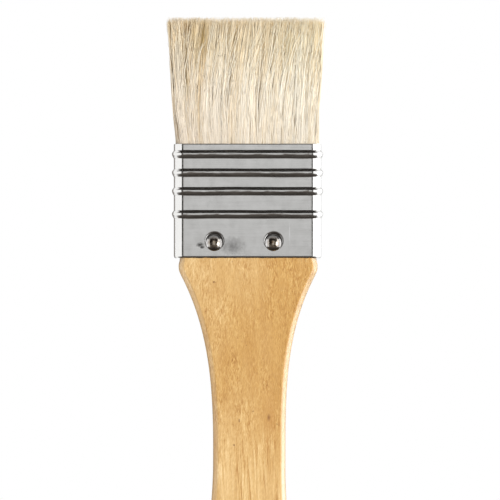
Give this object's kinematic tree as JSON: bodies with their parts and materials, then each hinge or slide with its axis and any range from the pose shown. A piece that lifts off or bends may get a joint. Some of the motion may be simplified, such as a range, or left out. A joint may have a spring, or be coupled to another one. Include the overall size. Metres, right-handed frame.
{
  "type": "flat paint brush",
  "caption": "Flat wash brush with a natural bristle tuft that bends on its ferrule, a beaded tinned ferrule, domed nails and a shaped wooden handle with a hanging hole.",
  "frame": {"origin": "on the brush's axis, at the lowest point of the handle's rounded butt", "axes": "+Z runs along the brush from the butt of the handle to the bristle tips, +X to the right seen from the front, and the front face with its nail heads looks along -Y"},
  "size_m": [0.0524, 0.011, 0.22],
  "materials": {
    "wood": "clear lacquered pale hardwood",
    "tin": "bright tinned steel sheet, lightly marked",
    "nail": "polished nickel plate",
    "bristle": "natural pale hog bristle",
    "resin": "hard amber epoxy",
    "plug": "raw softwood strip"
  },
  "bodies": {
    "brush": {"handle": "wood", "ferrule": "tin", "nail_front_left": "nail", "nail_front_right": "nail", "nail_back_left": "nail", "nail_back_right": "nail", "setting_resin": "resin", "spacer_plug": "plug", "bristle_roots_front": "bristle", "bristle_roots_back": "bristle"},
    "tuft": {"bristle_tuft_front": "bristle", "bristle_tuft_back": "bristle"}
  },
  "joints": [
    {"name": "bristle_flex", "type": "hinge", "parent": "brush", "child": "tuft", "pos_m": [0, 0, 0.179], "axis": [1, 0, 0], "range_deg": [-30, 30], "stiffness_Nm_per_rad": 0.15}
  ]
}
